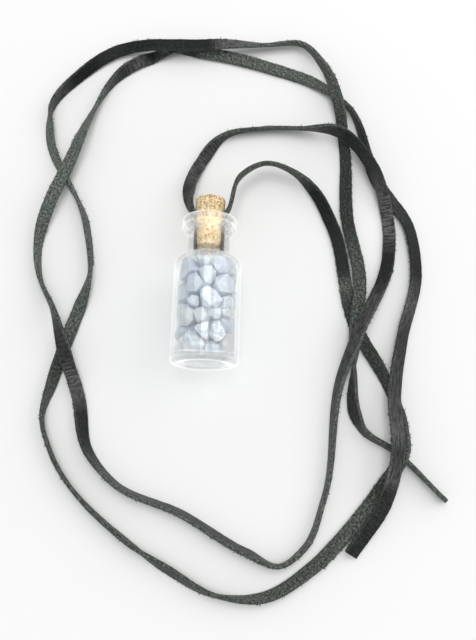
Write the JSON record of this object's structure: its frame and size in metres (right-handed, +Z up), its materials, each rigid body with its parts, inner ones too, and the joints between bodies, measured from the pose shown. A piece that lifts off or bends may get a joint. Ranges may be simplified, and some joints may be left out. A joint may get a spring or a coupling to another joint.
{
  "type": "bottle pendant",
  "caption": "Corked glass vial pendant filled with pale stone chips, lying on its side, with a flat leather lace pinched in its neck by the stopper and laid around it in loose loops.",
  "frame": {"origin": "on the standing surface, below the middle of vial and stopper", "axes": "+Y along the vial's axis from its base to its stopper, +Z up from the surface that the pendant lies on, +X to the right when the stopper points away"},
  "size_m": [0.107, 0.1513, 0.017],
  "materials": {
    "glass": "clear, smooth",
    "cork": "natural cork, matte, with dark pores",
    "lace": "smooth grain side, rough suede back",
    "chips": "rough broken faces, slightly translucent"
  },
  "bodies": {
    "vial": {"bottle": "glass", "lace_end_left": "lace", "lace_end_right": "lace", "lace_left": "lace", "lace_right": "lace", "chip_1": "chips", "chip_2": "chips", "chip_3": "chips", "chip_4": "chips", "chip_5": "chips", "chip_6": "chips", "chip_7": "chips", "chip_8": "chips", "chip_9": "chips", "chip_10": "chips", "chip_11": "chips", "chip_12": "chips", "chip_13": "chips", "chip_14": "chips", "chip_15": "chips", "chip_16": "chips", "chip_17": "chips", "chip_18": "chips", "chip_19": "chips", "chip_20": "chips", "chip_21": "chips", "chip_22": "chips", "chip_23": "chips", "chip_24": "chips", "chip_25": "chips", "chip_26": "chips", "chip_27": "chips", "chip_28": "chips", "chip_29": "chips", "chip_30": "chips", "chip_31": "chips", "chip_32": "chips", "chip_33": "chips", "chip_34": "chips", "chip_35": "chips", "chip_36": "chips", "chip_37": "chips", "chip_38": "chips"},
    "stopper": {"cork": "cork"}
  },
  "joints": [
    {"name": "cork_pull", "type": "slide", "parent": "vial", "child": "stopper", "axis": [0, 1, 0], "range_m": [0, 0.009]}
  ]
}
